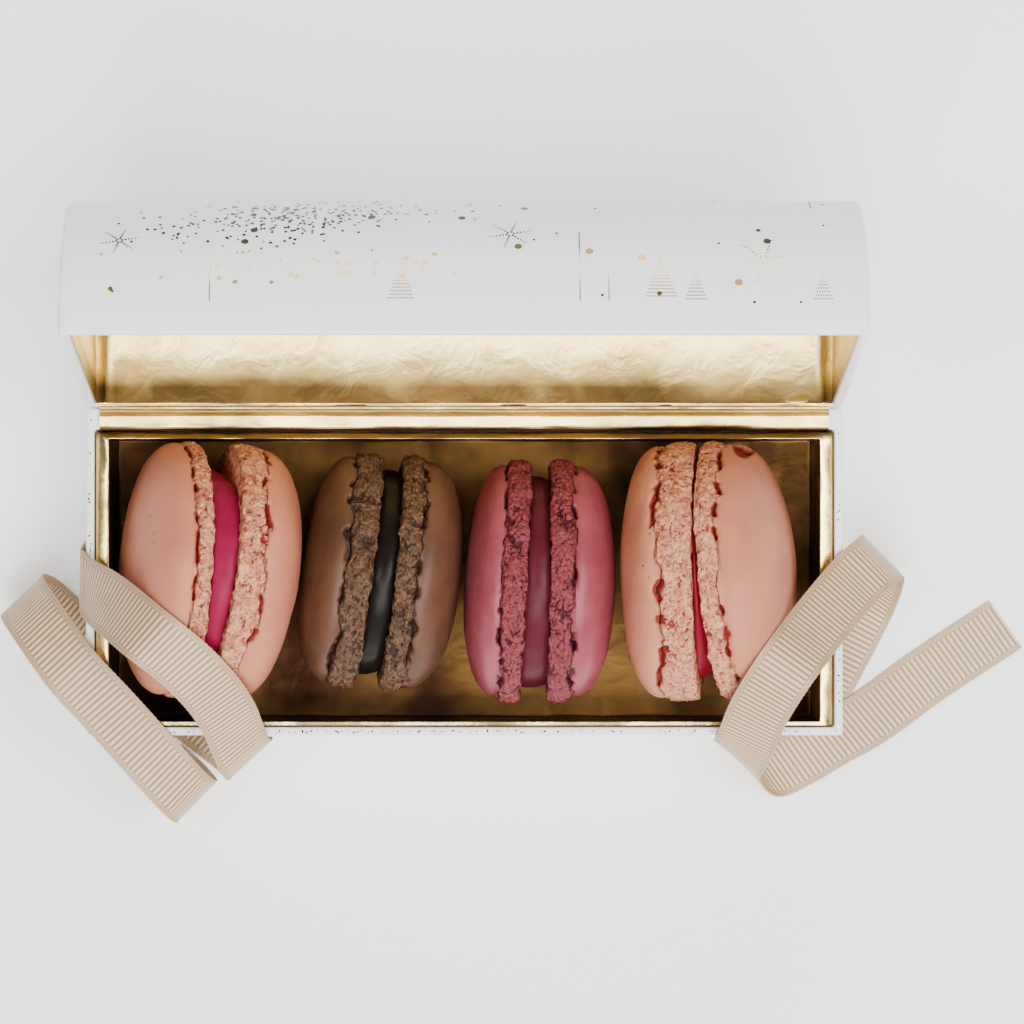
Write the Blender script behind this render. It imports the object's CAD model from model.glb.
"""Looks of an open gift box of four macarons with grosgrain ribbons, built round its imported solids."""

import math

import bmesh
import bpy
import numpy as np
from mathutils import Matrix, Vector, noise
from mathutils.bvhtree import BVHTree


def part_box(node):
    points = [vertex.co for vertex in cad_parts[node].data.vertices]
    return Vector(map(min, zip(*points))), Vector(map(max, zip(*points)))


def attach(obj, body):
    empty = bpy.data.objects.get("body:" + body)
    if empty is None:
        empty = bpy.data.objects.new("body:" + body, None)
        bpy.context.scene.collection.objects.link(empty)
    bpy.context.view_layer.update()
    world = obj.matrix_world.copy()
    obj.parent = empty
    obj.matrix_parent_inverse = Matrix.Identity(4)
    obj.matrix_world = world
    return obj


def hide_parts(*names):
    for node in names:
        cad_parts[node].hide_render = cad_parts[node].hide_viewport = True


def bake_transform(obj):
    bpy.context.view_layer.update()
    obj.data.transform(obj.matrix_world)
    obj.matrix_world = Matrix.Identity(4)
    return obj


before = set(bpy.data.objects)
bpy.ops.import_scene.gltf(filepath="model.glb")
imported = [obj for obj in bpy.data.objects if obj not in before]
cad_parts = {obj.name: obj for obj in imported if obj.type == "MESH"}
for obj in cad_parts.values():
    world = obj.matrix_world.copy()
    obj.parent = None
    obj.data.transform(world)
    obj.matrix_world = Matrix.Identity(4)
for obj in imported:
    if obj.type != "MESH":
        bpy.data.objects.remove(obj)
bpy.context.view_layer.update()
under_tape = [
    BVHTree.FromPolygons([v.co for v in solid.data.vertices], [p.vertices for p in solid.data.polygons])
    for name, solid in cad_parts.items()
    if name.startswith(("base", "gold", "macaron"))
]

MM = 0.001

# Base, tray and lid, as the solids have them.
BASE_HALF_X = 70.0 * MM
BASE_HALF_Y = 30.25 * MM
BASE_HEIGHT = 28.0 * MM
BASE_WALL = 1.5 * MM
BASE_BACK_WALL = 3.9 * MM
BASE_FLOOR = 2.4 * MM
GAP = 0.3 * MM
TRAY_HALF_X = 68.2 * MM
TRAY_FRONT = -28.45 * MM
TRAY_BACK = 25.8 * MM
TRAY_TOP = 27.7 * MM
TRAY_FLOOR_TOP = 3.3 * MM
LID_SKIRT = 3.4 * MM
LID_RISE = 27.0 * MM
LID_WALL = 1.9 * MM
LID_OPEN = math.radians(101.0)
HINGE = Vector((0.0, BASE_HALF_Y, BASE_HEIGHT + GAP))


# Shader expressions


class Wire:
    """A shader value that takes part in Python arithmetic."""

    def __init__(self, finish, socket):
        self.finish = finish
        self.socket = socket

    def maths(self, operation, *operands):
        return self.finish.add(
            "ShaderNodeMath", {"operation": operation}, dict(enumerate(operands))
        )

    def __add__(self, other):
        return self.maths("ADD", self, other)

    __radd__ = __add__

    def __sub__(self, other):
        return self.maths("SUBTRACT", self, other)

    def __rsub__(self, other):
        return self.maths("SUBTRACT", other, self)

    def __mul__(self, other):
        return self.maths("MULTIPLY", self, other)

    __rmul__ = __mul__

    def __truediv__(self, other):
        return self.maths("DIVIDE", self, other)

    def __pow__(self, other):
        return self.maths("POWER", self, other)

    def above(self, low, high):
        """0 below low, 1 above high and a smooth rise between them."""
        values = {0: self, 1: low, 2: high, 3: 0.0, 4: 1.0}
        return self.finish.add("ShaderNodeMapRange", {"interpolation_type": "SMOOTHSTEP"}, values)


class Finish:
    """A material whose nodes are written as expressions. Constants sit on the shader's own sockets."""

    def __init__(self, name, **constants):
        self.material = bpy.data.materials.new(name)
        self.material.use_nodes = True
        self.tree = self.material.node_tree
        self.shader = self.tree.nodes["Principled BSDF"]
        for key, value in constants.items():
            self.put(self.shader.inputs[key.replace("_", " ")], value)
        self.place = self.add("ShaderNodeTexCoord", out="Object")

    def put(self, socket, value):
        if isinstance(value, Wire):
            self.tree.links.new(value.socket, socket)
        elif isinstance(value, tuple) and len(value) == 3 and socket.type == "RGBA":
            socket.default_value = (*value, 1.0)
        else:
            socket.default_value = value

    def add(self, kind, settings=None, values=None, out=0):
        node = self.tree.nodes.new(kind)
        for key, value in (settings or {}).items():
            if key == "stops":
                self.fill_ramp(node.color_ramp, value)
            else:
                setattr(node, key, value)
        for key, value in (values or {}).items():
            self.put(node.inputs[key], value)
        return Wire(self, node.outputs[out])

    def fill_ramp(self, ramp, stops):
        while len(ramp.elements) < len(stops):
            ramp.elements.new(1.0)
        for element, (position, colour) in zip(ramp.elements, stops):
            element.position = position
            element.color = (*colour, 1.0)

    def mix(self, share, low, high):
        """A colour between two."""
        values = {0: share, 6: low, 7: high}
        return self.add("ShaderNodeMix", {"data_type": "RGBA"}, values, 2)

    def noise(self, size, detail=2.0, rough=0.5, warp=0.0, place=None):
        """Soft noise whose features are about this size in metres."""
        values = {
            "Vector": place or self.place,
            "Scale": 1.0 / size,
            "Detail": detail,
            "Roughness": rough,
            "Distortion": warp,
        }
        return self.add("ShaderNodeTexNoise", None, values)

    def cells(self, size, feature="F1", place=None):
        """Distance in a pattern of cells about this size."""
        values = {"Vector": place or self.place, "Scale": 1.0 / size}
        return self.add("ShaderNodeTexVoronoi", {"feature": feature}, values, "Distance")

    def moved(self, offset=(0.0, 0.0, 0.0), scale=(1.0, 1.0, 1.0), turn=(0.0, 0.0, 0.0)):
        values = {"Vector": self.place, "Location": offset, "Scale": scale, "Rotation": turn}
        return self.add("ShaderNodeMapping", None, values)

    def carried(self, name):
        """A number that the mesh carries at each point."""
        return self.add("ShaderNodeAttribute", {"attribute_name": name}, out="Fac")

    def set(self, **links):
        for key, value in links.items():
            self.put(self.shader.inputs[key.replace("_", " ")], value)

    def bump(self, *layers):
        """Relief from (height from 0 to 1, depth in metres) layers."""
        normal = None
        for height, depth in layers:
            values = {"Height": height, "Distance": depth, "Strength": 1.0}
            if normal:
                values["Normal"] = normal
            normal = self.add("ShaderNodeBump", None, values)
        self.set(Normal=normal)


def white_paper():
    finish = Finish("white_paper", Roughness=0.42)
    mottle = finish.noise(0.03, 3.0)
    fibre = finish.noise(0.0009, 4.0, 0.6)
    finish.set(Base_Color=finish.mix(mottle, (0.86, 0.86, 0.855), (0.90, 0.90, 0.895)))
    finish.bump((fibre, 0.00002), (mottle, 0.0002))
    return finish.material


def gold_foil():
    """Foil on card, browner where the mesh carries shade and duller where it carries satin."""
    finish = Finish("gold_foil", Metallic=1.0)
    cloud = finish.noise(0.022, 3.0)
    crease = finish.noise(0.006, 3.0, 0.55, 0.6)
    grain = finish.noise(0.0012, 2.0)
    bright = finish.mix(cloud, (0.74, 0.53, 0.17), (0.88, 0.70, 0.31))
    deep = finish.mix(cloud.above(0.35, 0.65), (0.038, 0.016, 0.008), (0.17, 0.088, 0.026))
    shade = finish.carried("shade")
    satin = finish.carried("satin")
    dull = 0.12 * crease + 0.12 * shade + 0.15 * satin
    finish.set(Base_Color=finish.mix(shade, bright, deep), Roughness=0.18 + dull)
    finish.bump((cloud, 0.0006), (crease * (1 + 2 * satin), 0.00012), (grain, 0.00002))
    return finish.material


def foil_print():
    """Foil dots, nearly black where the mesh carries dark."""
    finish = Finish("foil_print", Metallic=1.0, Roughness=0.25)
    finish.set(Base_Color=finish.mix(finish.carried("dark"), (0.55, 0.37, 0.11), (0.03, 0.026, 0.022)))
    return finish.material


def shell_finish(name, dome, shade, foot, crevice, speck, matt):
    """Baked macaron shell: a smooth dome and a crumbly foot, darker in its crevices."""
    finish = Finish(name, Specular_IOR_Level=0.3)
    finish.set(Subsurface_Weight=0.1, Subsurface_Scale=0.003, Subsurface_Radius=(1.0, 0.45, 0.3))
    footing = finish.carried("foot")
    pit = finish.carried("pit")
    cloud = finish.noise(0.012, 3.0, 0.55)
    fine = finish.noise(0.0014, 4.0, 0.62)
    hole = finish.noise(0.0012, 3.0, 0.65, 0.8)
    grit = finish.noise(0.0006, 2.0, 0.6, 0.5)
    grain = finish.noise(0.00045, 2.0)
    skin = finish.mix(cloud.above(0.3, 0.7), shade, dome)
    skin = finish.mix(grain.above(0.60, 0.75) * 0.4, skin, speck)
    crumb = finish.mix(fine.above(0.38, 0.58), shade, foot)
    crumb = finish.mix(grit.above(0.48, 0.34) * 0.55, crumb, crevice)
    colour = finish.mix(footing, skin, crumb)
    open_crumb = 0.85 * footing * hole.above(0.44, 0.36)
    colour = finish.mix(1 - (1 - pit.above(0.15, 0.55)) * (1 - open_crumb), colour, crevice)
    glint = footing * grit.above(0.56, 0.66)
    finish.set(Base_Color=colour, Roughness=matt + (0.55 - matt) * footing - 0.27 * glint)
    finish.bump(
        (hole * footing, 0.0005), (fine * (0.1 + footing), 0.0003), (grit * footing, 0.0002),
        (grain * (0.25 + footing), 0.0001),
    )
    return finish.material


def filling_finish(name, deep, light, roughness):
    finish = Finish(name, Roughness=roughness, Specular_IOR_Level=0.1)
    finish.set(Subsurface_Weight=0.1, Subsurface_Scale=0.002, Subsurface_Radius=(1.0, 0.3, 0.3))
    cloud = finish.noise(0.004, 3.0)
    smear = finish.noise(0.0012, 3.0)
    finish.set(Base_Color=finish.mix(cloud, deep, light))
    finish.bump((cloud, 0.0001), (smear, 0.00003))
    return finish.material


def grosgrain():
    finish = Finish("grosgrain", Roughness=0.42)
    rib = finish.carried("rib")
    cloud = finish.noise(0.01, 2.0)
    thread = finish.noise(0.0003, 2.0)
    colour = finish.mix(rib, (0.17, 0.09, 0.042), (0.83, 0.585, 0.34))
    finish.set(Base_Color=finish.mix(cloud * 0.2, colour, (0.48, 0.31, 0.17)))
    finish.bump((thread, 0.00005))
    return finish.material


# Modelling


def nothing_selected():
    if bpy.context.object and bpy.context.object.mode != "OBJECT":
        bpy.ops.object.mode_set(mode="OBJECT")
    bpy.ops.object.select_all(action="DESELECT")


def active(obj):
    nothing_selected()
    obj.select_set(True)
    bpy.context.view_layer.objects.active = obj


def named(name):
    obj = bpy.context.object
    obj.name = name
    obj.data.name = name
    return obj


def placed(obj):
    """Puts the object's place, turn and size into its mesh."""
    active(obj)
    bpy.ops.object.transform_apply(location=True, rotation=True, scale=True)
    return obj


def cube(name, low, high):
    nothing_selected()
    middle = [(a + b) / 2 for a, b in zip(low, high)]
    bpy.ops.mesh.primitive_cube_add(size=1.0, location=middle)
    obj = named(name)
    obj.scale = [b - a for a, b in zip(low, high)]
    return placed(obj)


def editing(obj):
    active(obj)
    bpy.ops.object.mode_set(mode="EDIT")
    bpy.ops.mesh.select_all(action="DESELECT")
    bpy.ops.mesh.select_mode(type="FACE")


def done():
    bpy.ops.object.mode_set(mode="OBJECT")


def pick(obj, test):
    """Selects the faces in edit mode whose centre and normal pass the test."""
    mesh = bmesh.from_edit_mesh(obj.data)
    for face in mesh.faces:
        face.select_set(test(face.calc_center_median(), face.normal))
    mesh.select_flush_mode()
    bmesh.update_edit_mesh(obj.data)


def pick_points(obj, test):
    bpy.ops.mesh.select_mode(type="VERT")
    mesh = bmesh.from_edit_mesh(obj.data)
    for point in mesh.verts:
        point.select_set(test(point.co))
    mesh.select_flush_mode()
    bmesh.update_edit_mesh(obj.data)


def sliced(obj, spacing, axes="XYZ"):
    """Cuts the mesh across at even steps, so that its faces can take creases."""
    editing(obj)
    corners = np.array([v.co for v in bmesh.from_edit_mesh(obj.data).verts])
    low = corners.min(axis=0)
    high = corners.max(axis=0)
    for axis in axes:
        k = "XYZ".index(axis)
        count = int((high[k] - low[k]) / spacing)
        for step in range(1, count):
            place = [0.0, 0.0, 0.0]
            place[k] = low[k] + (high[k] - low[k]) * step / count
            normal = [float(axis == other) for other in "XYZ"]
            bpy.ops.mesh.select_all(action="SELECT")
            bpy.ops.mesh.bisect(plane_co=place, plane_no=normal)
    done()
    return obj


def modified(obj, kind, **settings):
    """Adds a modifier and applies it."""
    active(obj)
    modifier = obj.modifiers.new(kind.lower(), kind)
    for key, value in settings.items():
        setattr(modifier, key, value)
    bpy.ops.object.modifier_apply(modifier=modifier.name)
    return obj


def cleaned(obj, inside=False):
    editing(obj)
    bpy.ops.mesh.select_all(action="SELECT")
    bpy.ops.mesh.remove_doubles(threshold=1e-6)
    bpy.ops.mesh.normals_make_consistent(inside=inside)
    done()
    return obj


def smooth(obj, angle=40.0):
    active(obj)
    bpy.ops.object.shade_smooth_by_angle(angle=math.radians(angle))
    return obj


def points_of(obj):
    flat = np.empty(len(obj.data.vertices) * 3)
    obj.data.vertices.foreach_get("co", flat)
    return flat.reshape(-1, 3)


def reshape(obj, points):
    obj.data.vertices.foreach_set("co", np.asarray(points, float).ravel())
    obj.data.update()
    return obj


def carry(obj, name, values):
    attribute = obj.data.attributes.new(name, "FLOAT", "POINT")
    attribute.data.foreach_set("value", np.asarray(values, np.float32))


def dress(obj, look, body, slot, *nodes):
    """Gives the piece its finish and its CAD body, and hides the CAD nodes that it stands for."""
    obj.data.materials.clear()
    obj.data.materials.append(look)
    if body:
        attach(obj, body)
    if nodes:
        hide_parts(*nodes)
    return obj


def rough_noise(points, size, seed=0.0, octaves=3):
    """Soft noise from -1 to 1 at each point."""
    offset = Vector((seed * 3.7, seed * 1.3, -seed * 2.1))
    return np.array([
        noise.fractal(Vector(p / size) + offset, 0.9, 2.1, octaves) for p in points
    ])


# Box


def hollow_block(name, low, high, front, back, side, floor):
    """A block with its top sunk, its walls this thick at the front, back and sides."""
    obj = cube(name, low, high)
    editing(obj)
    pick(obj, lambda c, n: n.z > 0.9)
    bpy.ops.mesh.inset(thickness=side, depth=0.0)
    edge = 0.2 * side
    inner = (high[1] - side - edge, low[1] + side + edge)
    pick_points(obj, lambda p: p.z > high[2] - edge and high[1] - edge > p.y > inner[0])
    bpy.ops.transform.translate(value=(0.0, side - back, 0.0))
    pick_points(obj, lambda p: p.z > high[2] - edge and low[1] + edge < p.y < inner[1])
    bpy.ops.transform.translate(value=(0.0, front - side, 0.0))
    bpy.ops.mesh.select_mode(type="FACE")
    middle = (low[1] + high[1]) / 2
    pick(obj, lambda c, n: n.z > 0.9 and abs(c.x) < 5 * MM and abs(c.y - middle) < 8 * MM)
    bpy.ops.mesh.extrude_region_move(TRANSFORM_OT_translate={"value": (0.0, 0.0, floor - high[2])})
    done()
    return cleaned(obj)


def make_base(look):
    low = (-BASE_HALF_X, -BASE_HALF_Y, 0.0)
    high = (BASE_HALF_X, BASE_HALF_Y, BASE_HEIGHT)
    base = hollow_block("base_paper", low, high, BASE_WALL, BASE_BACK_WALL, BASE_WALL, BASE_FLOOR)
    modified(base, "BEVEL", width=0.6 * MM, segments=4, limit_method="ANGLE")
    for start, end, depth in RECESSES:
        tool = recess_tool(start, end, depth)
        modified(base, "BOOLEAN", operation="DIFFERENCE", solver="EXACT", object=tool)
        bpy.data.objects.remove(tool)
    smooth(cleaned(base))
    return dress(base, look, "base", "white_paper", "base_box")


def recess_tool(start, end, depth):
    along = Vector((end[0] - start[0], end[1] - start[1], 0.0)) * MM
    nothing_selected()
    middle = (Vector((*start, 0.0)) + Vector((*end, 0.0))) / 2 * MM
    bpy.ops.mesh.primitive_cube_add(size=1.0, location=middle + Vector((0.0, 0.0, depth / 2 - MM / 2)))
    tool = named("recess_tool")
    tool.scale = (along.length, TAPE_WIDTH + 2 * RECESS_SIDE, depth + MM)
    tool.rotation_euler = (0.0, 0.0, math.atan2(along.y, along.x))
    return placed(tool)


def make_tray(look):
    low = (-TRAY_HALF_X, TRAY_FRONT, BASE_FLOOR + GAP)
    high = (TRAY_HALF_X, TRAY_BACK, TRAY_TOP)
    tray = hollow_block("tray_card", low, high, 0.7 * MM, 1.2 * MM, 2.4 * MM, TRAY_FLOOR_TOP)
    modified(tray, "BEVEL", width=0.2 * MM, segments=2, limit_method="ANGLE")
    sliced(tray, 1.6 * MM)
    points = points_of(tray)
    x = np.abs(points[:, 0])
    to_wall = np.minimum(points[:, 1] - TRAY_FRONT, TRAY_BACK - points[:, 1])
    corner = np.exp(-np.hypot(TRAY_HALF_X - x, to_wall) / (6 * MM))
    inner = (x < TRAY_HALF_X - 0.1 * MM) & (points[:, 2] > TRAY_FLOOR_TOP - 0.1 * MM)
    dent = rough_noise(points, 9 * MM, 1.0) * 0.2 * MM + rough_noise(points, 4 * MM, 6.0) * corner * 0.6 * MM
    wave = rough_noise(points, 22 * MM, 2.0) * 0.3 * MM
    top = points[:, 2] > TRAY_TOP - 0.3 * MM
    end_fall = np.clip((x - TRAY_HALF_X + 2.4 * MM) / (2.4 * MM), 0, 1) * 0.6 * MM
    back_fall = np.clip((points[:, 1] - TRAY_BACK + 1.2 * MM) / (1.2 * MM), 0, 1) * 0.4 * MM
    points[:, 2] -= np.where(top, np.abs(dent + wave) + np.maximum(end_fall, back_fall), 0.0)
    points[:, 1] += np.where(inner & ~top, dent, 0.0)
    points[:, 0] += np.where(inner & ~top, 0.7 * dent, 0.0)
    reshape(tray, points)
    back_rim = top & (points[:, 1] > TRAY_BACK - 1.1 * MM)
    carry(tray, "shade", np.clip((TRAY_TOP - 0.5 * MM - points[:, 2]) / (3 * MM), 0, 1) * inner + 0.9 * back_rim)
    smooth(tray, 35.0)
    return dress(tray, look, "base", "gold_foil", "gold_tray")


def vault(name, inset, steps):
    """The closed lid's outer form moved in by inset, open below."""
    half_y = BASE_HALF_Y - inset
    half_x = BASE_HALF_X - inset
    nothing_selected()
    bpy.ops.mesh.primitive_cylinder_add(vertices=2 * steps, radius=1.0, depth=2.0, rotation=(0.0, math.pi / 2, 0.0))
    obj = named(name)
    obj.scale = (LID_RISE - inset, half_y, half_x)
    placed(obj)
    editing(obj)
    bpy.ops.mesh.select_all(action="SELECT")
    bpy.ops.mesh.bisect(plane_co=(0, 0, 0), plane_no=(0, 0, 1), clear_inner=True, use_fill=True)
    bpy.ops.mesh.select_mode(type="FACE")
    pick(obj, lambda c, n: n.z < -0.9 and abs(c.z) < 0.1 * MM)
    bpy.ops.mesh.extrude_region_move(TRANSFORM_OT_translate={"value": (0.0, 0.0, -LID_SKIRT)})
    bpy.ops.mesh.delete(type="FACE")
    bpy.ops.mesh.select_all(action="SELECT")
    bpy.ops.transform.translate(value=(0.0, 0.0, HINGE.z + LID_SKIRT))
    done()
    return cleaned(obj)


def opened(obj):
    """Turns a piece of the closed lid about the hinge to where it stands open."""
    turn = Matrix.Rotation(-LID_OPEN, 4, "X")
    obj.data.transform(Matrix.Translation(HINGE) @ turn @ Matrix.Translation(-HINGE))
    return obj


def make_lid(paper, gold):
    shell = vault("lid_paper", 0.0, 72)
    modified(shell, "SOLIDIFY", thickness=LID_WALL, offset=-1.0, use_even_offset=True)
    modified(shell, "BEVEL", width=0.55 * MM, segments=4, limit_method="ANGLE", angle_limit=math.radians(40.0))
    smooth(cleaned(opened(shell)))
    dress(shell, paper, "lid", "white_paper", "lid_shell")
    lining = vault("lid_lining", LID_WALL + 0.08 * MM, 60)
    sliced(lining, 1.8 * MM, "X")
    fold = BASE_HALF_X - LID_WALL - 1.9 * MM
    editing(lining)
    for x in (fold - 0.5 * MM, fold, fold + 0.5 * MM):
        for side in (-1, 1):
            bpy.ops.mesh.select_all(action="SELECT")
            bpy.ops.mesh.bisect(plane_co=(side * x, 0, 0), plane_no=(1, 0, 0))
    bpy.ops.mesh.select_all(action="SELECT")
    bpy.ops.mesh.bisect(plane_co=(0, 0, HINGE.z + 0.4 * MM), plane_no=(0, 0, 1), clear_inner=True)
    done()
    points = points_of(lining)
    low = rough_noise(points, 16 * MM, 3.0)
    high = rough_noise(points, 5 * MM, 4.0)
    inward = -points * (0.0, 1.0, 0.0) / BASE_HALF_Y
    inward[:, 2] = -np.clip((points[:, 2] - HINGE.z) / LID_RISE, 0.0, 1.0)
    depth = np.maximum(0.3 * (low + 1.2) + 0.1 * high, 0.02) * MM
    depth += np.maximum(1 - np.abs(np.abs(points[:, 0]) - fold) / (0.5 * MM), 0.0) * 0.6 * MM
    hem = points[:, 1] > 0
    near = np.clip(2.2 - (points[:, 2] - HINGE.z) / (2.7 * MM) + 0.6 * low + 0.2 * high, 0, 1) * hem
    reshape(lining, points + inward * depth[:, None])
    carry(lining, "shade", 0.9 * near)
    carry(lining, "satin", np.ones(len(points)))
    modified(lining, "SOLIDIFY", thickness=0.3 * MM, offset=-1.0)
    smooth(cleaned(opened(lining)), 60.0)
    return dress(lining, gold, "lid", "gold_foil")


def strip_along(name, path, half_x, thickness, columns):
    """A strip from left to right whose section follows path, points (y, z) in metres."""
    nothing_selected()
    rows = len(path)
    bpy.ops.mesh.primitive_grid_add(x_subdivisions=columns, y_subdivisions=rows - 1, size=1.0)
    obj = named(name)
    points = points_of(obj)
    row = np.rint((points[:, 1] + 0.5) * (rows - 1)).astype(int)
    path = np.array(path)
    points = np.stack([points[:, 0] * 2 * half_x, path[row, 0], path[row, 1]], axis=1)
    reshape(obj, points)
    modified(obj, "SOLIDIFY", thickness=thickness, offset=0.0)
    return obj


def rounded_path(corners, radius, steps):
    """Points along straight runs between corners (y, z), each inner corner rounded."""
    corners = [Vector(c) for c in corners]
    path = [corners[0]]
    for before, corner, after in zip(corners, corners[1:], corners[2:]):
        start = corner + (before - corner).normalized() * min(radius, (before - corner).length / 2)
        end = corner + (after - corner).normalized() * min(radius, (after - corner).length / 2)
        for step in range(steps + 1):
            u = step / steps
            path.append(start * (1 - u) ** 2 + corner * 2 * u * (1 - u) + end * u * u)
    path.append(corners[-1])
    return path


def make_hinge(paper, gold):
    y = BASE_HALF_Y
    z = BASE_HEIGHT
    inner = y - BASE_BACK_WALL
    runs = (
        (inner - 0.12 * MM, z - 1.6 * MM), (inner - 0.12 * MM, z - 0.1 * MM), (inner + 0.5 * MM, z + 0.2 * MM),
        (y - 1.35 * MM, z + 0.85 * MM), (y - 1.0 * MM, z + 0.4 * MM), (y - 0.4 * MM, z + 0.25 * MM),
        (y - 0.2 * MM, z + 0.9 * MM), (y + 0.25 * MM, z + 0.95 * MM), (y + 0.3 * MM, z + 2.1 * MM),
        (y + 0.9 * MM, z + 2.42 * MM), (y + 2.5 * MM, z + 2.2 * MM), (y + 3.1 * MM, z + 1.25 * MM),
    )
    strip = strip_along("hinge_foil", rounded_path(runs, 0.35 * MM, 4), 67.4 * MM, 0.12 * MM, 110)
    points = points_of(strip)
    on_base = np.clip((points[:, 2] - z) / (0.3 * MM), 0, 1)
    points[:, 2] += on_base * 0.24 * MM * rough_noise(points * (0.6, 1.6, 1.0), 6 * MM, 5.0)
    reshape(strip, points)
    furrow = (points[:, 1] > y - 1.2 * MM) & (points[:, 1] < y - 0.25 * MM)
    worn = 0.3 + 0.3 * rough_noise(points, 7 * MM, 8.0)
    carry(strip, "shade", np.clip(np.maximum(worn, 0.7 * furrow) + (points[:, 1] < inner + 0.4 * MM), 0, 1))
    smooth(cleaned(strip), 60.0)
    dress(strip, gold, None, "gold_foil")
    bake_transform(strip)
    runs = (
        (y + 0.12 * MM, z - 9.0 * MM), (y + 0.12 * MM, z - 1.4 * MM), (y + 1.2 * MM, z - 0.2 * MM),
        (y + 3.2 * MM, z - 0.42 * MM),
    )
    strap = strip_along("hinge_paper", rounded_path(runs, 1.0 * MM, 6), 69.0 * MM, 0.14 * MM, 60)
    smooth(cleaned(strap), 60.0)
    dress(strap, paper, None, "white_paper")
    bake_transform(strap)


# Macarons

FACE_SHARE = 0.93
FILLING_SHARE = 0.9
# A dome's section is a superellipse: its exponent is the macaron's fullness, and it starts at this
# share of the foot's radius, its border. The filling is sunk this much more at the back and at the
# front. The other tuples hold x of the inner face at mid height, lean of the top towards +X and
# turn of the back towards +X in degrees, thickness and foot width of each shell, in mm.
MACARONS = (
    {"y": 0.3, "radius": 24.0, "fullness": 2.35, "border": 0.98, "sunk": (3.2, 0.4),
     "left": (-51.0, 14.0, 4.0, 11.9, 3.1), "right": (-46.0, 13.0, 8.0, 14.3, 4.6)},
    {"y": -0.1, "radius": 21.9, "fullness": 2.25, "border": 0.975, "sunk": (0.8, 0.8),
     "left": (-17.9, 3.5, 7.4, 12.5, 5.0), "right": (-13.5, 3.5, 6.4, 12.8, 4.1)},
    {"y": -1.7, "radius": 22.5, "fullness": 2.35, "border": 0.955, "sunk": (1.0, 0.6),
     "left": (11.2, 0.0, 3.1, 11.1, 4.0), "right": (15.7, 0.0, 0.8, 12.2, 4.1)},
    {"y": 0.1, "radius": 24.1, "fullness": 2.35, "border": 0.975, "sunk": (0.8, 2.6),
     "left": (43.2, -6.0, -1.0, 14.0, 6.0), "right": (46.5, -11.0, -5.0, 14.5, 3.8)},
)
# How coarse each macaron's crumb is, and how much of it lies in crevices.
CRUMBS = ((0.85, 0.26), (1.25, 0.42), (1.1, 0.40), (0.8, 0.24))
# Small marks on the upper side of a shell: x, y, reach and depth in mm, and how dark.
MARKS = {
    (1, "left"): ((-57.2, 10.9, 0.7, 0.35, 0.0), (-56.2, 7.7, 0.6, 0.3, 0.0), (-56.5, 5.8, 0.6, 0.3, 0.0)),
    (4, "left"): ((33.5, 8.2, 0.3, 0.1, 1.0), (33.4, 7.2, 0.25, 0.1, 1.0), (32.2, 1.4, 0.25, 0.1, 0.9), (33.3, -0.8, 0.25, 0.1, 0.9)),
    (4, "right"): ((51.4, 23.2, 2.4, 1.3, 0.9), (52.6, 22.6, 1.2, 0.9, 0.8)),
}
SPIN_STEPS = 480


def shell_profile(radius, thickness, foot, fullness, border):
    """(distance from the inner face, radius) along the shell's section, from its middle to its pole."""
    profile = [(0.0, FACE_SHARE * radius * u) for u in np.linspace(0.0, 0.8, 5)]
    profile += [(0.0, FACE_SHARE * radius * u) for u in np.linspace(0.84, 0.98, 6)]
    for u in np.linspace(0.0, 1.0, 36):
        bulge = math.sin(math.pi * (0.1 + 0.8 * u)) ** 0.5
        profile.append((foot * u, radius * (0.94 + 0.048 * bulge)))
    dome = thickness - foot
    for u in np.linspace(0.02, 1.0, 50):
        angle = 0.5 * math.pi * u
        edge = border * (1 - 0.015 * math.exp(-u / 0.06))
        rise = foot + dome * math.sin(angle) ** (2 / fullness)
        profile.append((rise, radius * edge * max(math.cos(angle), 0.0) ** (2 / fullness)))
    return profile


def spun(name, profile, steps):
    """A closed body turned about the X axis."""
    mesh = bpy.data.meshes.new(name)
    mesh.from_pydata([(d, r, 0.0) for d, r in profile], [(i, i + 1) for i in range(len(profile) - 1)], [])
    obj = bpy.data.objects.new(name, mesh)
    bpy.context.scene.collection.objects.link(obj)
    active(obj)
    bpy.ops.object.mode_set(mode="EDIT")
    bpy.ops.mesh.select_all(action="SELECT")
    bpy.ops.mesh.spin(steps=steps, angle=2 * math.pi, center=(0, 0, 0), axis=(1, 0, 0))
    done()
    return cleaned(obj)


def bubbles(place):
    """Rounded lumps with creases between them, from 0 in a crease to about 1 on a lump."""
    near, second = noise.voronoi(place)[0][:2]
    lump = math.sqrt(max(0.0, 1 - near * near / 0.8))
    return lump * min(1.0, 0.35 + 4.0 * (second - near))


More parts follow.
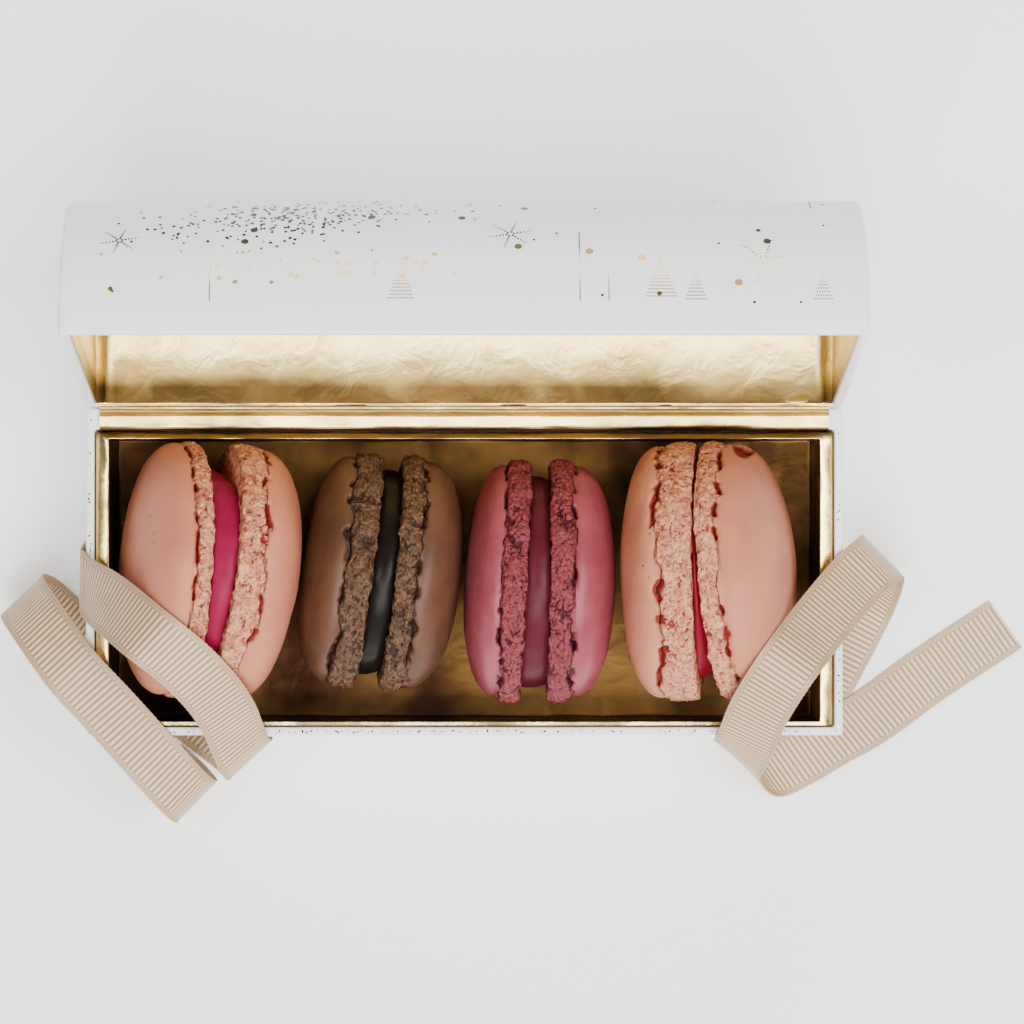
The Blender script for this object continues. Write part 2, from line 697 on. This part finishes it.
def crumbled(points, radius, foot, seed, coarse, pitted):
    """Moves a shell's points into its crumbly foot and gently uneven dome. Returns the points, how
    much each is foot and how deep it lies in a crevice."""
    distance = points[:, 0]
    reach = np.hypot(points[:, 1], points[:, 2])
    outward = points[:, 1:] / np.maximum(reach, 1e-6)[:, None]
    moved = points.copy()
    footing = np.zeros(len(points))
    pit = np.zeros(len(points))
    shift = Vector((seed * 5.3, -seed * 2.7, seed * 1.9))
    swell = rough_noise(points, 0.6 * radius, seed, 2)
    skin = rough_noise(points, 3.0 * MM, seed + 9.0, 3)
    for i in np.nonzero((distance < 1.5 * foot) & (reach > 0.7 * radius))[0]:
        p = Vector(points[i])
        rim = min(1.0, (reach[i] / radius - 0.7) / 0.16)
        wander = noise.noise(p / (6.0 * MM) + shift) + 0.5 * noise.noise(p / (1.7 * MM) - shift)
        border = foot * (1 + 0.24 * wander)
        share = min(1.0, max(0.0, (border - distance[i]) / (0.06 * foot) + 0.5)) * rim
        warp = 0.6 * noise.noise_vector(p / (1.8 * MM) + shift)
        lump = bubbles(p / (2.3 * MM) + shift + warp)
        crumb = bubbles(p / (1.0 * MM) - shift + warp)
        drift = noise.noise(p / (3.6 * MM) + 2 * shift)
        height = 0.45 * lump + 0.4 * crumb + 0.4 * drift
        edge = abs(distance[i] - border) / (0.17 * foot)
        crack = max(0.0, 1 - edge) * min(1.0, max(0.0, 0.6 + 6.0 * noise.noise(p / (3.4 * MM) - 3 * shift)))
        push = coarse * (height - 0.5) * share * MM - 1.2 * crack * rim * MM
        moved[i, 1:] += outward[i] * push
        if distance[i] < 0.45 * foot:
            ragged = noise.noise(p / (1.9 * MM) - 2 * shift) + 0.6 * lump + 0.3 * crumb - 0.6
            moved[i, 0] += 0.5 * coarse * MM * ragged * rim * (1 - distance[i] / (0.45 * foot))
        footing[i] = share
        pit[i] = max(share * min(1.0, max(0.0, (pitted - height) / 0.2)), crack)
    moved[:, 1:] += outward * (0.012 * radius * swell * (reach / radius))[:, None]
    dome = np.clip((distance / foot - 1.0) / 0.3, 0, 1)
    moved[:, 0] += dome * (0.25 * swell + 0.05 * skin) * MM
    return moved, footing, pit


def shell_frame(side, face_x, lean, turn, y, z):
    """Where a shell's own frame goes: its axis points to -X on the left and to +X on the right."""
    flip = Matrix.Rotation(math.pi if side == "left" else 0.0, 4, "Z")
    leaning = Matrix.Rotation(math.radians(lean), 4, "Y")
    turning = Matrix.Rotation(math.radians(-turn), 4, "Z")
    return Matrix.Translation((face_x * MM, y, z)) @ turning @ leaning @ flip


def make_macaron(number, spec, shell_look, filling_look):
    radius = spec["radius"] * MM
    planes = []
    for side in ("left", "right"):
        face_x, lean, turn, thickness, foot = spec[side]
        name = f"macaron_{number}_shell_{side}"
        profile = shell_profile(radius, thickness * MM, foot * MM, spec["fullness"], spec["border"])
        shell = spun(f"baked_{number}_{side}", profile, SPIN_STEPS)
        place = shell_frame(side, face_x, lean, turn, spec["y"] * MM, TRAY_FLOOR_TOP + radius)
        seed = 2 * number + (side == "right")
        points, footing, pit = crumbled(points_of(shell), radius, foot * MM, seed, *CRUMBS[number - 1])
        points = points @ np.array(place.to_3x3()).T + np.array(place.translation)
        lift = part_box(name)[0][2] - points[:, 2].min()
        points[:, 2] += lift
        middle = np.array(place.translation) + (0.0, 0.0, lift)
        for x, y, extent, depth, dark in MARKS.get((number, side), ()):
            away = np.hypot(points[:, 0] - x * MM, points[:, 1] - y * MM) / (extent * MM)
            share = np.clip(1 - away**2, 0, 1) * (points[:, 2] > middle[2] - 2 * MM)
            inwards = (middle - points) / np.maximum(np.linalg.norm(middle - points, axis=1), MM)[:, None]
            points += inwards * (share * depth * MM)[:, None]
            pit = np.maximum(pit, dark * share)
        reshape(shell, points)
        carry(shell, "foot", footing)
        carry(shell, "pit", pit)
        smooth(cleaned(shell), 75.0)
        dress(shell, shell_look, "base", SHELL_SLOTS[number - 1], name)
        normal = place.to_3x3() @ Vector((1.0, 0.0, 0.0))
        planes.append((place.translation + Vector((0.0, 0.0, lift)), normal))
    make_filling(number, radius, spec["sunk"], planes, filling_look)


def make_filling(number, radius, sunk, planes, look):
    """The layer between the inner faces, sunk a little inside their rims."""
    rim = FILLING_SHARE * radius
    profile = [(0.0, rim * u) for u in np.linspace(0.0, 0.96, 6)]
    for u in np.linspace(0.0, 1.0, 15):
        profile.append((u, rim + 0.5 * MM * (math.sin(math.pi * u) ** 0.7 - 1)))
    profile += [(1.0, rim * u) for u in np.linspace(0.96, 0.0, 6)]
    filling = spun(f"filling_{number}", profile, 160)
    points = points_of(filling)
    share = points[:, 0].copy()
    reach = np.hypot(points[:, 1], points[:, 2])
    uneven = 0.015 * rough_noise(points * (0.0, 1.0, 1.0), 9 * MM, 40.0 + number)
    towards_back = points[:, 1] / np.maximum(reach, 1e-6)
    deeper = np.where(towards_back > 0, sunk[0], sunk[1]) * MM * towards_back**2 * (0.6 + 0.8 * share)
    size = 1 + (uneven - deeper / rim) * np.clip(reach / rim, 0, 1)
    middle = (planes[0][0] + planes[1][0]) / 2
    y = middle.y + points[:, 1] * size
    z = middle.z + points[:, 2] * size
    ends = []
    for (origin, normal), outwards in zip(planes, (1.0, -1.0)):
        slope = (y - origin.y) * normal.y + (z - origin.z) * normal.z
        ends.append(origin.x - slope / normal.x + outwards * 0.15 * MM)
    reshape(filling, np.stack([ends[0] + share * (ends[1] - ends[0]), y, z], axis=1))
    smooth(cleaned(filling), 60.0)
    return dress(filling, look, "base", FILLING_SLOTS[number - 1], f"macaron_{number}_filling")


# Ribbons

TAPE_WIDTH = 11.0 * MM
TAPE_THICK = 0.45 * MM
TAPE_STEPS = 8
RIB_PITCH = 1.02 * MM
STEPS_PER_RIB = 6
RECESS_SIDE = 1.2 * MM
RECESSES = (
    ((-38.0, -37.0), (-79.0, -8.6), 0.9 * MM),
    ((64.0, -31.0), (76.0, -8.0), 0.9 * MM),
    ((56.0, -42.0), (78.0, -26.0), 1.7 * MM),
)
# Knots of each tape's middle line in mm, with the angle of its cross line from +X in degrees.
LEFT_TAPE = (
    (-71.2, 1.0, 3.5, 90), (-71.2, -0.2, 15, 90), (-71.0, -1.6, 27.4, 89), (-69.6, -2.9, 29.3, 84),
    (-64.3, -5.9, 32, 60), (-56.4, -11.7, 36, 47), (-50.7, -16.4, 36, 41), (-46.2, -21.3, 34, 37),
    (-43.3, -26.1, 30.5, 34), (-41.8, -30.5, 29.7, 37), (-40.3, -34.7, 25.0, 42), (-40.0, -35.0, 15, 43),
    (-41.4, -35.4, 3.0, 43), (-43.3, -34.1, 0.5, 45), (-50.0, -29.0, 0.4, 49), (-62.0, -20.2, 0.4, 52),
    (-75.8, -10.5, 0.45, 50),
    (-80.9, -5.9, 3.5, 46), (-83.0, -4.7, 15, 44), (-79.0, -9.4, 26.0, 43), (-72.0, -18.6, 30.2, 43),
    (-65.8, -25.3, 30.6, 41), (-58.9, -33.0, 29.6, 44), (-52.0, -41.0, 25.0, 46), (-50.2, -43.2, 15, 46),
    (-53.0, -41.0, 5.0, 46), (-57.5, -37.2, 1.2, 46),
)
RIGHT_TAPE = (
    (66.8, -25.5, 0.35, 151), (69.4, -20.5, 0.35, 152), (73.2, -13.3, 0.4, 153), (77.0, -5.2, 2.6, 146),
    (78.6, 2.2, 14, 136), (76.4, 1.9, 26.0, 134), (71.6, -2.0, 30.0, 137), (63.75, -10.6, 32, 142),
    (58.0, -17.75, 32, 146), (53.85, -25.25, 30.4, 152), (51.9, -31.3, 29.8, 155), (51.0, -34.2, 24.5, 146),
    (51.6, -35.6, 14.5, 137), (54.9, -37.8, 4.0, 127), (59.6, -37.7, 1.1, 125), (64.3, -35.6, 1.0, 126),
    (70.2, -32.1, 1.0, 128), (77.9, -27.8, 0.6, 130), (88.6, -20.0, 0.5, 127), (103.2, -10.4, 0.5, 125),
)


def smooth_path(knots):
    """Stations through the knots: middle points in metres and cross-line angles in radians."""
    values = np.array(knots, float)
    stations = []
    for i in range(len(values) - 1):
        before = values[max(i - 1, 0)]
        start = values[i]
        end = values[i + 1]
        after = values[min(i + 2, len(values) - 1)]
        for step in range(TAPE_STEPS):
            u = step / TAPE_STEPS
            turn = 2 * start + (end - before) * u
            turn = turn + (2 * before - 5 * start + 4 * end - after) * u**2
            stations.append((turn + (3 * start - before - 3 * end + after) * u**3) / 2)
    stations.append(values[-1])
    path = np.array(stations)
    path[:, :3] *= MM
    path[:, 3] = np.radians(path[:, 3])
    return path


def drape(path, first, last):
    """Lifts the stations from first to last clear of what lies under them, as a taut tape."""
    need = np.zeros(len(path))
    for i in range(first, last):
        x, y, _, angle = path[i]
        for share in (-1.0, -0.5, 0.0, 0.5, 1.0):
            reach = share * (TAPE_WIDTH / 2 + GAP)
            above = Vector((x + reach * math.cos(angle), y + reach * math.sin(angle), 90 * MM))
            for tree in under_tape:
                hit = tree.ray_cast(above, Vector((0.0, 0.0, -1.0)))[0]
                if hit:
                    need[i] = max(need[i], hit.z + GAP + TAPE_THICK)
    z = np.maximum(path[:, 2], need)
    for _ in range(400):
        eased = (z[first - 1 : last - 1] + z[first + 1 : last + 1]) / 2
        z[first:last] = np.maximum(eased, need[first:last])
    path[:, 2] = z
    return path


def evenly(path, count):
    """The path at count places, evenly spaced along it, and its length."""
    run = np.linalg.norm(np.diff(path[:, :3], axis=0), axis=1)
    along = np.concatenate([[0.0], np.cumsum(run)])
    places = np.linspace(0.0, along[-1], count)
    return np.stack([np.interp(places, along, path[:, k]) for k in range(4)], axis=1), along[-1]


def make_tape(name, knots, over, look, node):
    """A grosgrain tape along its knots. Each cross line is level, so it bends but never stretches."""
    path = smooth_path(knots)
    for first, last in over:
        path = drape(path, first * TAPE_STEPS, last * TAPE_STEPS)
    length = evenly(path, 10)[1]
    ribs = int(round(length / RIB_PITCH))
    rows = ribs * STEPS_PER_RIB
    path, length = evenly(path, rows + 1)
    middles = path[:, :3]
    soft = np.cumsum(np.vstack([np.zeros(3), middles]), axis=0)
    reach = 9
    soft = (soft[2 * reach + 1 :] - soft[: -2 * reach - 1]) / (2 * reach + 1)
    middles[reach : reach + len(soft)] = soft
    along = np.gradient(middles, axis=0)
    along /= np.linalg.norm(along, axis=1)[:, None]
    across = np.stack([np.cos(path[:, 3]), np.sin(path[:, 3]), np.zeros(rows + 1)], axis=1)
    skew = np.sqrt(1 - (across * along).sum(axis=1) ** 2)
    outwards = np.cross(along, across)
    outwards /= np.linalg.norm(outwards, axis=1)[:, None]
    half_shares = (0.4, 0.76, 0.8, 0.85, 0.9, 0.95, 1.0)
    shares = np.array([-share for share in reversed(half_shares)] + [0.0, *half_shares])
    nothing_selected()
    bpy.ops.mesh.primitive_grid_add(x_subdivisions=len(shares) - 1, y_subdivisions=rows, size=1.0)
    tape = named(name)
    grid = points_of(tape)
    column = np.rint((grid[:, 0] + 0.5) * (len(shares) - 1)).astype(int)
    row = np.rint((grid[:, 1] + 0.5) * rows).astype(int)
    phase = 2 * np.pi * row / STEPS_PER_RIB
    off_middle = np.abs(shares[column])
    rib = np.where(off_middle > 0.78, 0.2, 0.5 + 0.5 * np.cos(phase))
    rib = np.where(np.abs(off_middle - 0.85) < 0.02, 0.55 - 0.45 * np.cos(2 * phase), rib)
    rib = np.where(np.abs(off_middle - 0.95) < 0.02, 0.55 + 0.45 * np.cos(2 * phase), rib)
    half = (TAPE_WIDTH / 2 + 0.05 * MM * np.cos(phase)) / skew[row]
    points = middles[row] + across[row] * (shares[column] * half)[:, None]
    reshape(tape, points)
    carry(tape, "rib", rib)
    modified(tape, "SOLIDIFY", thickness=TAPE_THICK - 0.16 * MM, offset=0.0)
    ribs_on = np.empty(len(tape.data.vertices))
    tape.data.attributes["rib"].data.foreach_get("value", ribs_on)
    flat = points_of(tape)
    normals = np.empty(len(flat) * 3)
    tape.data.vertices.foreach_get("normal", normals)
    reshape(tape, flat + normals.reshape(-1, 3) * (0.12 * MM * (ribs_on - 0.3))[:, None])
    smooth(cleaned(tape), 80.0)
    dress(tape, look, "base", "beige_tape", node)
    return tape


# Print


def make_print(look):
    """Foil dots, flakes, firs and thin lines on the lid's vault, and fine dots on the base's walls."""
    rng = np.random.default_rng(7)
    spots = []
    for _ in range(110):
        spots.append((rng.uniform(-67, 67), rng.uniform(2, 94), rng.choice([0.25, 0.3, 0.45, 0.7])))
    for _ in range(330):
        x = rng.normal(-29, 12)
        spots.append((x, 25 + 0.12 * (x + 30) + rng.normal(0, 4.5), rng.uniform(0.2, 0.36)))
    for _ in range(26):
        spots.append((rng.normal(-24, 11), rng.uniform(6, 14), rng.uniform(0.3, 0.5)))
    for x, arc, arms in ((52, 12, 5.2), (8, 19, 3.8), (-60, 17, 3.4), (30, 60, 4.0), (-40, 70, 3.4)):
        for arm in range(6):
            for step in range(1, 7):
                reach = arms * step / 6
                turn = math.radians(60 * arm + 15)
                spots.append((x + reach * math.cos(turn), arc + reach * math.sin(turn), 0.26 - 0.02 * step))
    for x, arc, rows in ((34, 3.0, 13), (40, 2.4, 9), (-11, 2.6, 11), (62, 2.4, 8)):
        for row in range(rows):
            for place in range(row + 1):
                wide = 0.42 * (place - row / 2)
                spots.append((x + wide, arc + 0.75 * (rows - row), 0.15))
    lid = bmesh.new()
    shade = lid.verts.layers.float.new("dark")
    for x, arc, size in spots:
        if abs(x) > 68 or not 1.5 < arc < 94:
            continue
        stamp(lid, shade, *on_vault(x, arc), size, size)
    for x, arc, length in ((20, 3, 17), (-44, 3, 9), (61, 30, 9), (25, 3, 7), (-3, 40, 12)):
        for step in range(int(length / 0.5)):
            stamp(lid, shade, *on_vault(x, arc + 0.5 * step), 0.11, 0.3)
    for _ in range(150):
        side = rng.choice([-1.0, 1.0])
        y = rng.uniform(-28, 28)
        vaulted = LID_RISE / MM * math.sqrt(1 - (y * MM / BASE_HALF_Y) ** 2)
        rise = rng.uniform(0, vaulted + 2)
        if rise < vaulted + LID_SKIRT / MM - 2.5:
            size = rng.uniform(0.14, 0.34)
            place = Vector((side * BASE_HALF_X, y * MM, HINGE.z + (rise + 1.5) * MM))
            stamp(lid, shade, place, Vector((side, 0.0, 0.0)), size, size)
    printed(lid, "lid_print", look, "lid")
    base = bmesh.new()
    shade = base.verts.layers.float.new("dark")
    for _ in range(260):
        x = rng.uniform(-66, 66)
        z = BASE_HEIGHT / MM - 1.2 - abs(rng.normal(0, 7))
        if z > 4:
            size = rng.uniform(0.14, 0.3)
            stamp(base, shade, Vector((x * MM, -BASE_HALF_Y, z * MM)), Vector((0.0, -1.0, 0.0)), size, size)
    for _ in range(110):
        size = rng.uniform(0.14, 0.3)
        place = Vector((rng.uniform(-66, 66) * MM, BASE_HALF_Y, rng.uniform(3, 18) * MM))
        stamp(base, shade, place, Vector((0.0, 1.0, 0.0)), size, size)
    for _ in range(160):
        side = rng.choice([-1.0, 1.0])
        y = rng.uniform(-27, 27)
        z = BASE_HEIGHT / MM - 1.2 - abs(rng.normal(0, 7))
        if z > 4:
            size = rng.uniform(0.14, 0.3)
            stamp(base, shade, Vector((side * BASE_HALF_X, y * MM, z * MM)), Vector((side, 0.0, 0.0)), size, size)
    for _ in range(190):
        size = rng.uniform(0.1, 0.2)
        inside = rng.uniform(0.5, 1.0) * MM
        if rng.random() < 0.6:
            place = Vector((rng.uniform(-69, 69) * MM, inside - BASE_HALF_Y, BASE_HEIGHT))
        else:
            side = rng.choice([-1.0, 1.0])
            place = Vector((side * (BASE_HALF_X - inside), rng.uniform(-29, 29) * MM, BASE_HEIGHT))
        stamp(base, shade, place, Vector((0.0, 0.0, 1.0)), size, size)
    printed(base, "base_print", look, "base")


def on_vault(x, arc):
    """Place and normal on the closed lid, arc in mm from its free edge."""
    angle = math.pi * (1 - arc / 96)
    place = Vector((x * MM, BASE_HALF_Y * math.cos(angle), HINGE.z + LID_SKIRT + LID_RISE * math.sin(angle)))
    return place, Vector((0.0, math.cos(angle) / BASE_HALF_Y, math.sin(angle) / LID_RISE)).normalized()


def stamp(built, shade, place, normal, wide, tall):
    """One flat foil dot, wide along X and tall across, in mm."""
    turn = normal.to_track_quat("Z", "Y").to_matrix().to_4x4()
    size = Matrix.Diagonal((wide * MM, tall * MM, 1.0, 1.0))
    spot = Matrix.Translation(place + normal * 0.02 * MM) @ turn @ size
    made = bmesh.ops.create_cone(
        built, cap_ends=True, segments=10, radius1=1.0, radius2=0.9, depth=0.05 * MM, matrix=spot
    )
    over = 1.0 if normal.z > 0.99 else (place.z - HINGE.z - 11 * MM) / (7 * MM)
    for vert in made["verts"]:
        vert[shade] = min(1.0, max(0.12, over))


def printed(built, name, look, body):
    mesh = bpy.data.meshes.new(name)
    built.to_mesh(mesh)
    built.free()
    dots = bpy.data.objects.new(name, mesh)
    bpy.context.scene.collection.objects.link(dots)
    if body == "lid":
        opened(dots)
    return dress(dots, look, body, "gold_foil")


# Studio


def make_studio():
    nothing_selected()
    bpy.ops.mesh.primitive_plane_add(size=4.0, location=(0.0, 0.0, -0.02 * MM))
    floor = placed(named("studio_floor"))
    finish = Finish("studio_floor", Base_Color=(0.95, 0.95, 0.95), Roughness=0.9)
    finish.set(Emission_Color=(1.0, 1.0, 1.0), Emission_Strength=0.3)
    floor.data.materials.append(finish.material)
    world = bpy.data.worlds.new("studio")
    world.use_nodes = True
    world.node_tree.nodes["Background"].inputs["Color"].default_value = (1.0, 0.99, 0.97, 1.0)
    world.node_tree.nodes["Background"].inputs["Strength"].default_value = 0.09
    bpy.context.scene.world = world
    for name, place, aim, size, power in (
        ("left", (-0.55, 0.0, 1.25), (0.0, 0.0, 0.02), 0.4, 6.0),
        ("right", (0.6, 0.0, 1.25), (0.0, 0.0, 0.02), 0.6, 16.0),
        ("high_front", (0.05, -0.58, 1.2), (0.0, 0.0, 0.02), 0.8, 23.0),
        ("low_front", (0.1, -1.05, 0.42), (0.0, 0.0, 0.04), 1.2, 8.0),
        ("back", (0.1, 1.2, 0.5), (0.0, 0.0, 0.06), 0.6, 9.0),
    ):
        nothing_selected()
        bpy.ops.object.light_add(type="AREA", location=place)
        light = bpy.context.object
        light.name = "light_" + name
        light.data.size = size
        light.data.energy = power
        light.rotation_euler = (Vector(aim) - Vector(place)).to_track_quat("-Z", "Y").to_euler()
    nothing_selected()
    bpy.ops.object.camera_add(location=(0.0, 11.05 * MM, 898.0 * MM), rotation=(0.0, 0.0, 0.0))
    camera = bpy.context.object
    camera.data.lens = 165.4
    camera.data.shift_x = 0.0466
    camera.data.sensor_width = 36.0
    camera.data.clip_start = 0.05
    bpy.context.scene.camera = camera


SHELL_SLOTS = ("peach_shell", "cocoa_shell", "rose_shell", "pale_peach_shell")
FILLING_SLOTS = ("magenta_filling", "dark_filling", "plum_filling", "crimson_filling")


def main():
    paper = white_paper()
    gold = gold_foil()
    make_base(paper)
    make_tray(gold)
    make_lid(paper, gold)
    make_hinge(paper, gold)
    make_print(foil_print())
    shells = (
        shell_finish("peach_baked", (0.54, 0.195, 0.108), (0.46, 0.16, 0.085), (0.72, 0.33, 0.175), (0.20, 0.012, 0.007), (0.40, 0.13, 0.075), 0.6),
        shell_finish("cocoa_baked", (0.116, 0.050, 0.024), (0.070, 0.030, 0.013), (0.130, 0.063, 0.028), (0.030, 0.011, 0.005), (0.065, 0.024, 0.011), 0.5),
        shell_finish("rose_baked", (0.31, 0.061, 0.082), (0.22, 0.036, 0.048), (0.225, 0.034, 0.038), (0.055, 0.002, 0.007), (0.20, 0.028, 0.037), 0.42),
        shell_finish("pale_peach_baked", (0.53, 0.20, 0.115), (0.45, 0.16, 0.088), (0.70, 0.32, 0.17), (0.20, 0.012, 0.007), (0.34, 0.12, 0.075), 0.6),
    )
    fillings = (
        filling_finish("magenta_cream", (0.20, 0.005, 0.034), (0.25, 0.008, 0.046), 0.4),
        filling_finish("dark_cream", (0.006, 0.004, 0.003), (0.010, 0.007, 0.006), 0.3),
        filling_finish("plum_cream", (0.065, 0.007, 0.013), (0.095, 0.012, 0.02), 0.35),
        filling_finish("crimson_cream", (0.16, 0.003, 0.014), (0.20, 0.005, 0.018), 0.35),
    )
    for number, spec in enumerate(MACARONS, start=1):
        make_macaron(number, spec, shells[number - 1], fillings[number - 1])
    tape = grosgrain()
    make_tape("tape_left", LEFT_TAPE, ((3, 10), (20, 23)), tape, "ribbon_left")
    make_tape("tape_right", RIGHT_TAPE, ((6, 11),), tape, "ribbon_right")
    make_studio()


main()
